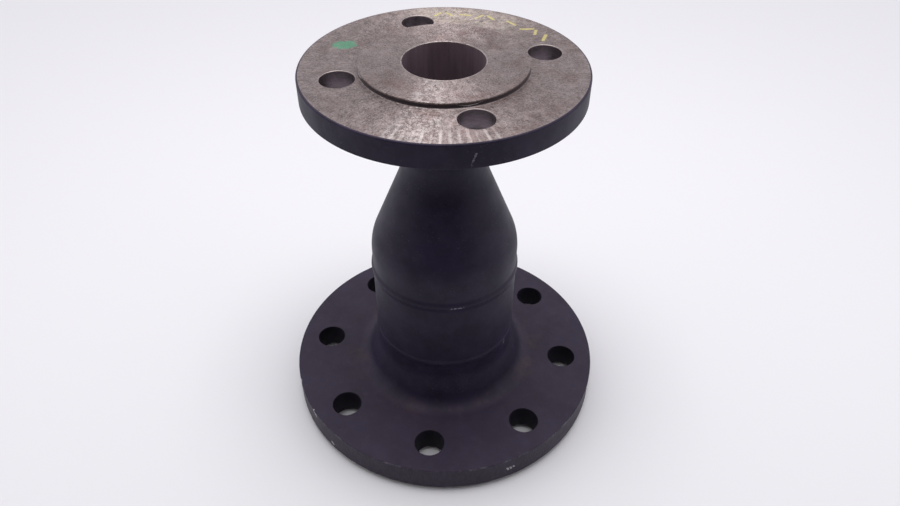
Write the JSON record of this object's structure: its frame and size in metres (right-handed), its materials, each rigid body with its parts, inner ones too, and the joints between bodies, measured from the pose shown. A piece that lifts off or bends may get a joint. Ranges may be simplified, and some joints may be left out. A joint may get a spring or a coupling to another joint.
{
  "type": "flanged concentric reducer",
  "caption": "Welded steel pipe spool: a cone narrows the bore between a wide weld-neck flange at the foot and a smaller one at the top.",
  "frame": {"origin": "centre of the large flange's sealing face, where the part stands", "axes": "+Z along the bore, from the large flange to the small one; the bolt holes of both flanges straddle X and Y"},
  "size_m": [0.2, 0.2, 0.234],
  "materials": {
    "charcoal_paint": "satin charcoal paint over steel, worn through at edges; the small flange's face is bare turned steel"
  },
  "bodies": {
    "root": {"lower_flange": "charcoal_paint", "lower_weld": "charcoal_paint", "pipe_section": "charcoal_paint", "middle_weld": "charcoal_paint", "reducer": "charcoal_paint", "upper_weld": "charcoal_paint", "upper_flange": "charcoal_paint"}
  },
  "joints": []
}
